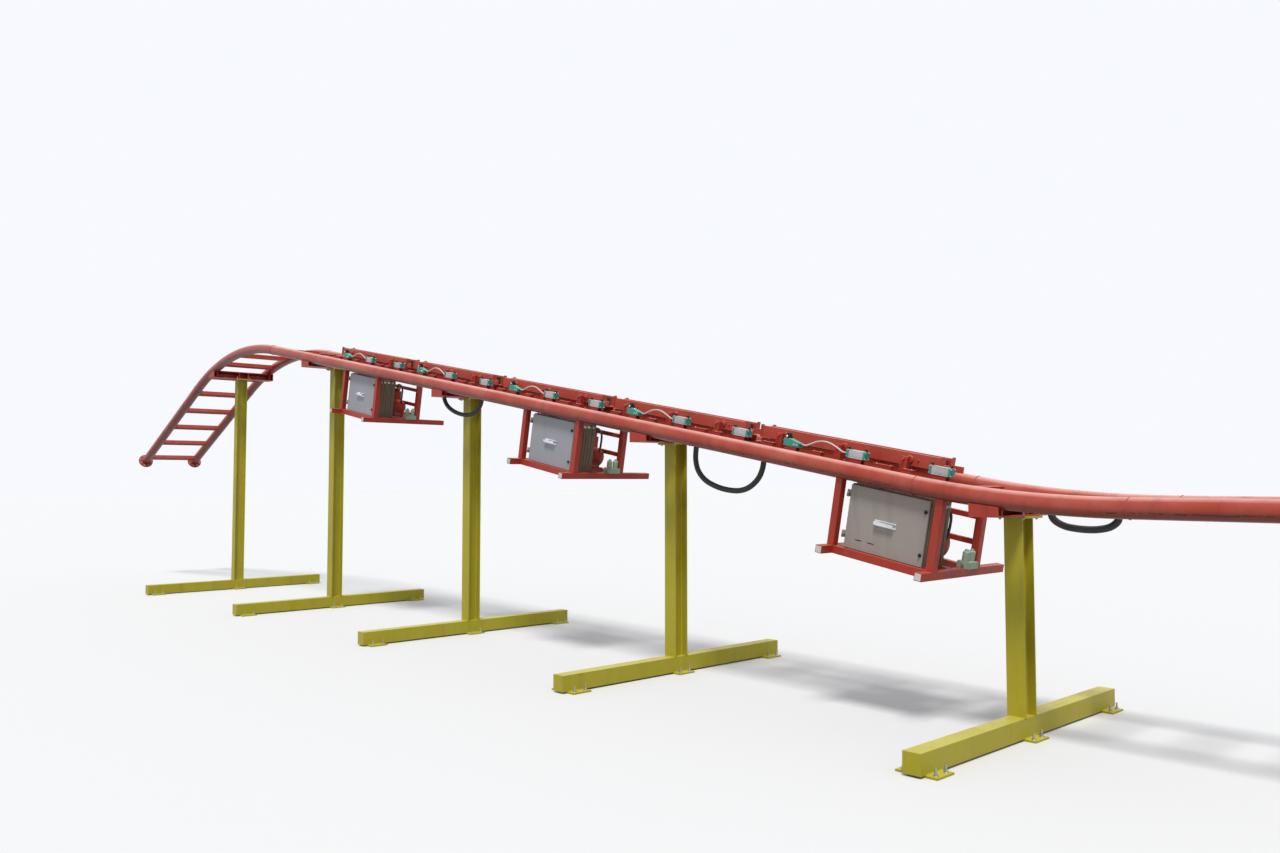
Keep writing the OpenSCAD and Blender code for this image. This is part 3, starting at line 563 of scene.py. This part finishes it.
def saddle_bolts():
    bm = bmesh.new()
    for i in SUPPORTS:
        z = track_frame(support_d(i))[1] - SUPPORT_DROP
        for x in (-0.088, 0.088):
            for y in (-0.103, 0.103):
                bolt(bm, at(UP, support_x(i) + x, y, z + SADDLE_PLATE), 0.012, 0.03)
                bolt(bm, at(UP, support_x(i) + x, y, z - CAP_T) @ DOWN, 0.012)
    piece("saddle_bolts", bm, zinc, "track")


def carrier_bolts():
    bm = bmesh.new()
    for i in BRAKES:
        for x in GUIDE_XS:
            for side in (-1, 1):
                for dx in (-0.02, 0.02):
                    bolt(bm, at(brake(i), x + dx, side * 0.1, DECK_Z + 0.012), 0.009)
    piece("carrier_bolts", bm, zinc, "track")


# Welds

def bead(bm, path, size=0.0045):
    """A rippled weld bead along a path."""
    line = [path[0]]
    for a, b in zip(path, path[1:]):
        n = max(1, round((b - a).length / 0.012))
        line += [a.lerp(b, k / n) for k in range(1, n + 1)]
    sweep(bm, line, lambda k: size * (1.0 + 0.18 * (k % 2)), 6)


def ring(matrix, radius, sides=40):
    return [matrix @ Vector((radius * math.cos(a), radius * math.sin(a), 0))
            for a in (2 * math.pi * k / sides for k in range(sides + 1))]


def rail_welds():
    bm = bmesh.new()
    inset = 0.001
    for d in (inset, D_LEVEL, D_FOOT, D_TOP, D_CREST, D_END - inset):
        for side in (-1, 1):
            bead(bm, ring(at(on_track(d), 0, side * GAUGE / 2, 0) @ DOWNHILL, RAIL_R))
    piece("rail_welds", bm, rail_red, "track")


def tie_welds():
    """Beads round both coped ends of each tie."""
    bm = bmesh.new()
    for d in tie_distances():
        for side in (-1, 1):
            path = []
            for dx in (-TIE_W / 2, TIE_W / 2):
                heights = [TIE_TOP * (1 - k / 3) for k in range(7)]
                if dx > 0:
                    heights.reverse()
                for z in heights:
                    y = GAUGE / 2 - math.sqrt(RAIL_R ** 2 - z ** 2)
                    path.append(on_track(d) @ Vector((dx, side * y, z)))
            bead(bm, path + path[:1])
    piece("tie_welds", bm, frame_red, "track")


def column_welds():
    bm = bmesh.new()
    for i in SUPPORTS:
        half = (CREST_COLUMN_W if i == 5 else COLUMN_W) / 2
        top = track_frame(support_d(i))[1] - SUPPORT_DROP - CAP_T
        for side in (-1, 1):
            y = side * COLUMN_D / 2
            reach = min(half, BASE_W / 2)
            for extent, z in ((reach, BASE_TOP), (half, top)):
                bead(bm, [Vector((support_x(i) + end * extent, y, z)) for end in (-1, 1)])
        for y in FOOT_YS:
            for side in (-1, 1):
                x = support_x(i) + side * BASE_W / 2
                bead(bm, [Vector((x, y - 0.1, FOOT_T)), Vector((x, y + 0.1, FOOT_T))])
    piece("column_welds", bm, yellow, "track")


# Brake units

def linings():
    """Dark friction plates over the linings' faces."""
    count, pitch, gap, thickness = 6, 0.295, 0.01, 0.0015
    start = 0.02 - JAW_LEN / 2
    for i in BRAKES:
        for name, side, y in (("near", -1, -JAW_FACE_Y), ("far", 1, JAW_FACE_Y)):
            bm = bmesh.new()
            near_y, far_y = sorted((y, y - side * thickness))
            for k in range(count):
                x = start + k * pitch
                block(bm, brake(i), (x, near_y, 0.116), (x + pitch - gap, far_y, 0.184))
            piece(f"lining_{name}_{i}", bm, lining_dark, f"{name}_jaw_{i}", smooth=False)


def jaw_collars():
    """Welded collars round the guide pins, on the jaws' outer faces."""
    for i in BRAKES:
        for name, side, turn in (("near", -1, NEARWARD), ("far", 1, FARWARD)):
            bm = bmesh.new()
            for x in GUIDE_XS:
                turned(bm, at(brake(i), x, side * JAW_BACK_Y, JAW_Z + JAW_H / 2) @ turn,
                       [(0, 0.03), (0.008, 0.03), (0.011, 0.027)], 28)
                for dx in (-0.075, 0.075):
                    bolt(bm, at(brake(i), x + dx, side * JAW_BACK_Y, JAW_Z + JAW_H / 2) @ turn, 0.010)
            piece(f"jaw_collars_{name}_{i}", bm, jaw_red, f"{name}_jaw_{i}")


def cylinder_trim():
    """Tie rods along the barrels, nuts on the end caps and black elbows on top."""
    rods, elbows = bmesh.new(), bmesh.new()
    reach = BARREL_LEN / 2 + END_CAP_LEN
    for i in BRAKES:
        for x in CYLINDER_XS:
            centre = at(brake(i), x, GEAR_Y, CYLINDER_Z)
            for dy in (-1, 1):
                for dz in (-1, 1):
                    rod = at(centre, -BARREL_LEN / 2, dy * 0.0295, dz * 0.0295) @ DOWNHILL
                    turned(rods, rod, [(0, 0.0034), (BARREL_LEN, 0.0034)], 10)
                    for end, turn in ((-reach, UPHILL), (reach, DOWNHILL)):
                        bolt(rods, at(centre, end, dy * 0.025, dz * 0.025) @ turn, 0.0065)
            for end in (-1, 1):
                base = at(centre, end * (reach - END_CAP_LEN / 2), 0, END_CAP / 2)
                turned(elbows, base, [(0, 0.007), (0.004, 0.007), (0.005, 0.0085), (0.02, 0.0085),
                                      (0.022, 0.007)], 14)
                turned(elbows, at(base, 0, 0, 0.014) @ NEARWARD, [(0, 0.0062), (0.026, 0.0062)], 12)
    piece("cylinder_rods", rods, bright, "track")
    piece("cylinder_elbows", elbows, black_paint, "track")


def valve_trim():
    """A black coil and plug on each valve, with cover screws and a silencer."""
    black, silver = bmesh.new(), bmesh.new()
    for i in BRAKES:
        place = at(brake(i), VALVE_X, GEAR_Y, GEAR_Z)
        block(black, place, (-0.072, -0.022, 0.062), (-0.034, 0.022, 0.094))
        block(black, place, (-0.068, -0.014, 0.094), (-0.040, 0.014, 0.108))
        turned(black, at(place, -0.08, 0, 0.03) @ UPHILL,
               [(0, 0.009), (0.004, 0.012), (0.03, 0.012), (0.034, 0.008)], 16)
        turned(silver, at(place, -0.053, -0.022, 0.078) @ NEARWARD,
               [(0, 0.010), (0.008, 0.010), (0.009, 0.009)], 16)
        for y in (-0.02, 0.02):
            bolt(silver, at(place, -0.02, y, 0.060), 0.005)
        for x in (0.03, 0.06):
            bolt(silver, at(place, x, -0.03, 0.018) @ NEARWARD, 0.007)
    piece("valve_coils", black, black_paint, "track")
    piece("valve_screws", silver, bright, "track")


def air_main():
    """A rigid pale pipe along the shelf's near edge, held by clips."""
    pipe, clips = bmesh.new(), bmesh.new()
    place = on_track(D_FOOT)
    length, clip_count, clip_pitch = 9.5, 20, 0.49
    y, r = -0.291, 0.0055
    axis_z = SHELF_TOP + r + 0.002
    base = at(place, 0.1, y, axis_z)
    turned(pipe, base @ UPHILL, [(0, r), (length, r)], 14)
    for k in range(clip_count):
        x = 0.05 - k * clip_pitch
        block(clips, place, (x - 0.012, y - 0.0085, SHELF_TOP), (x + 0.012, y + 0.018, SHELF_TOP + 0.004))
        turned(clips, at(place, x - 0.008, y, axis_z) @ DOWNHILL, [(0, r + 0.002), (0.016, r + 0.002)], 14)
    piece("air_main", pipe, white_hose, "track")
    piece("air_main_clips", clips, zinc, "track")


# Cradles and cabinets

def bearer_caps():
    """Pale plugs in the open ends of the cross bearers."""
    bm = bmesh.new()
    inset, thickness = 0.005, 0.002
    for i in CRADLES:
        for x in (-POST_X, POST_X):
            low, high = x - TUBE_SIDE / 2 + inset, x + TUBE_SIDE / 2 - inset
            bottom, top = BEARER_Z + inset, BEARER_Z + TUBE_SIDE - inset
            for y in (-BEARER_NEAR - thickness, BEARER_FAR):
                block(bm, cradle(i), (low, y, bottom), (high, y + thickness, top))
    piece("bearer_caps", bm, cap_white, "track", smooth=False)


def door_trim():
    """Black latches at the door's free edge."""
    mid = CABINET_Z + CABINET_H / 2
    for i in CRADLES:
        bm = bmesh.new()
        for z in (-HINGE_Z, HINGE_Z):
            turned(bm, at(cradle(i), 0.322, DOOR_Y, mid + z) @ NEARWARD,
                   [(0, 0.014), (0.004, 0.014), (0.006, 0.012), (0.006, 0.008), (0.014, 0.008)], 18)
            block(bm, cradle(i), (0.316, DOOR_Y - 0.016, mid + z - 0.012),
                  (0.328, DOOR_Y - 0.012, mid + z + 0.012))
        piece(f"door_latches_{i}", bm, black_paint, f"cabinet_door_{i}")


def cabinet_trim():
    """A roof plate on each cabinet, with its screws, and nuts on the glands."""
    roof_t = 0.004
    for i in CRADLES:
        bm, nuts = bmesh.new(), bmesh.new()
        top = CABINET_Z + CABINET_H
        block(bm, cradle(i), (-CABINET_W / 2, CABINET_FRONT, top),
              (CABINET_W / 2, CABINET_BACK, top + roof_t))
        for x in (-CABINET_W / 2 + 0.02, CABINET_W / 2 - 0.02):
            for y in (CABINET_FRONT + 0.03, CABINET_BACK - 0.03):
                bolt(nuts, at(cradle(i), x, y, top + roof_t), 0.008)
        for k in range(1, 5):
            y = CABINET_FRONT + k * (CABINET_BACK - CABINET_FRONT) / 5
            turned(nuts, at(cradle(i), CABINET_W / 2 + WELD_GAP, y, top - 0.045) @ DOWNHILL,
                   [(0, 0.0145), (0.006, 0.0145), (0.007, 0.013)], 6)
        piece(f"cabinet_roof_{i}", bm, shaded_side_brown, "track", smooth=False)
        piece(f"cabinet_nuts_{i}", nuts, zinc, "track")


def pipe(bm, points, radius):
    sweep(bm, smooth_line(points, 0.012), lambda k: radius, 12)


def receiver_trim():
    """The delivery pipe from the pump to the receiver, and the receiver's bosses and gauge."""
    dark, pale, metal = bmesh.new(), bmesh.new(), bmesh.new()
    for i in CRADLES:
        place = at(cradle(i), 0, RECEIVER_Y, 0)
        head_x = MOTOR_LEN / 2 + 0.042
        head_top = MOTOR_Z + MOTOR_R + 0.035
        pipe(dark, [place @ Vector(p) for p in (
            (head_x, 0, head_top - 0.002), (head_x, 0, head_top + 0.03), (head_x + 0.03, 0, head_top + 0.055),
            (head_x + 0.1, 0, head_top + 0.04), (head_x + 0.135, 0, head_top - 0.02),
            (head_x + 0.13, 0, RECEIVER_Z + 0.09), (head_x + 0.1, 0, RECEIVER_Z + 0.03),
            (head_x + 0.06, 0, RECEIVER_Z + 0.005))], 0.011)
        for x in (-0.16, -0.02, 0.12):
            turned(metal, at(place, x, 0, RECEIVER_Z + RECEIVER_R - 0.003),
                   [(0, 0.016), (0.008, 0.016), (0.01, 0.013)], 6)
        gauge_x = -0.19
        gauge = at(place, gauge_x, 0, RECEIVER_Z + RECEIVER_R + 0.02)
        turned(metal, at(place, gauge_x, 0, RECEIVER_Z + RECEIVER_R - 0.004),
               [(0, 0.006), (0.03, 0.006)], 12)
        turned(dark, at(gauge, 0, -0.01, 0.03) @ FARWARD, [(0, 0.026), (0.022, 0.026)], 24)
        turned(pale, at(gauge, 0, -0.0105, 0.03) @ FARWARD, [(0, 0.023), (0.002, 0.023)], 24)
    piece("delivery_pipes", dark, black_paint, "track")
    piece("gauge_faces", pale, cap_white, "track")
    piece("receiver_bosses", metal, zinc, "track")


def regulators():
    """The pale green air treatment set on the far end of each cradle's downhill bearer."""
    green, metal = bmesh.new(), bmesh.new()
    for i in CRADLES:
        place = at(cradle(i), POST_X, 0.06, BEARER_Z + TUBE_SIDE + 0.0006)
        block(green, place, (-0.05, -0.07, 0.0), (0.05, 0.07, 0.05))
        for y in (-0.04, 0.04):
            turned(green, at(place, 0, y, 0.05),
                   [(0, 0.026), (0.02, 0.028), (0.07, 0.028), (0.078, 0.02)], 20)
            turned(metal, at(place, 0, y, 0.127), [(0, 0.014), (0.012, 0.014), (0.016, 0.009)], 16)
        turned(metal, at(place, 0, -0.07, 0.024) @ NEARWARD, [(0, 0.011), (0.016, 0.011)], 6)
    piece("air_treatment_sets", green, pale_green, "track")
    piece("air_treatment_fittings", metal, zinc, "track")


def gland_rings():
    """Lock nuts under the glands of the cable loops."""
    bm = bmesh.new()
    for d, route in CABLE_LOOPS:
        for x in (route[0][0] * MM, -route[0][0] * MM):
            turned(bm, at(on_track(d), x, CABLE_Y, -0.006), [(0, 0.037), (-0.01, 0.037), (-0.011, 0.034)], 8)
            turned(bm, at(on_track(d), x, CABLE_Y, 0.004), [(0, 0.03), (0.008, 0.03), (0.009, 0.027)], 6)
    piece("gland_rings", bm, black_paint, "track")


def shelf_covers():
    """Folded red covers on the shelf between the valves and cylinders."""
    places_and_lengths = ((-0.66, 0.12), (-0.14, 0.1), (0.5, 0.16), (0.72, 0.09))
    half_w, height, lid_t, lip = 0.026, 0.042, 0.005, 0.003
    screw_inset = 0.015
    bm, screws = bmesh.new(), bmesh.new()
    for i in BRAKES:
        for x, length in places_and_lengths:
            for half_l, reach, low, high in ((length / 2, half_w, 0, height),
                                             (length / 2 + lip, half_w + lip, height, height + lid_t)):
                block(bm, brake(i), (x - half_l, GEAR_Y - reach, SHELF_TOP + low),
                      (x + half_l, GEAR_Y + reach, SHELF_TOP + high))
            for dx in (-length / 2 + screw_inset, length / 2 - screw_inset):
                bolt(screws, at(brake(i), x + dx, GEAR_Y, SHELF_TOP + height + lid_t), 0.006)
    piece("shelf_covers", bm, frame_red, "track", smooth=False)
    piece("shelf_cover_screws", screws, zinc, "track")


for build in (flange_bolts, anchor_bolts, saddle_bolts, carrier_bolts, rail_welds, tie_welds, column_welds,
              linings, jaw_collars, cylinder_trim, valve_trim, air_main, bearer_caps, door_trim,
              cabinet_trim, receiver_trim, regulators, gland_rings, shelf_covers):
    build()


# Floor and light

def floor():
    size = 120
    bm = bmesh.new()
    bmesh.ops.create_grid(bm, x_segments=1, y_segments=1, size=size)
    mesh = bpy.data.meshes.new("floor")
    bm.to_mesh(mesh)
    bm.free()
    m = Nodes("floor")
    path = m.add("ShaderNodeLightPath")
    seen = m.math("MAXIMUM", path.outputs["Is Camera Ray"], path.outputs["Is Glossy Ray"])
    m.colour(m.mix(seen, (0.34, 0.34, 0.33), (0.74, 0.74, 0.73)))
    m.bsdf.inputs["Roughness"].default_value = 0.9
    mesh.materials.append(m.material)
    obj = bpy.data.objects.new("floor", mesh)
    scene.collection.objects.link(obj)


def lights():
    sun = bpy.data.lights.new("sun", "SUN")
    sun.energy = 2.5
    sun.angle = math.radians(12)
    obj = bpy.data.objects.new("sun", sun)
    obj.rotation_euler = Vector((-0.35, 0.45, -1.0)).to_track_quat("-Z", "Y").to_euler()
    scene.collection.objects.link(obj)
    world = bpy.data.worlds.new("world")
    scene.world = world
    world.use_nodes = True
    tree = world.node_tree
    background = tree.nodes["Background"]
    background.inputs["Color"].default_value = (0.93, 0.95, 1.0, 1)
    path = tree.nodes.new("ShaderNodeLightPath")
    seen = tree.nodes.new("ShaderNodeMath")
    seen.operation = "MAXIMUM"
    tree.links.new(path.outputs["Is Camera Ray"], seen.inputs[0])
    tree.links.new(path.outputs["Is Glossy Ray"], seen.inputs[1])
    strength = tree.nodes.new("ShaderNodeMapRange")
    strength.inputs["To Min"].default_value = 0.6
    strength.inputs["To Max"].default_value = 1.0
    tree.links.new(seen.outputs["Value"], strength.inputs["Value"])
    tree.links.new(strength.outputs["Result"], background.inputs["Strength"])


floor()
lights()
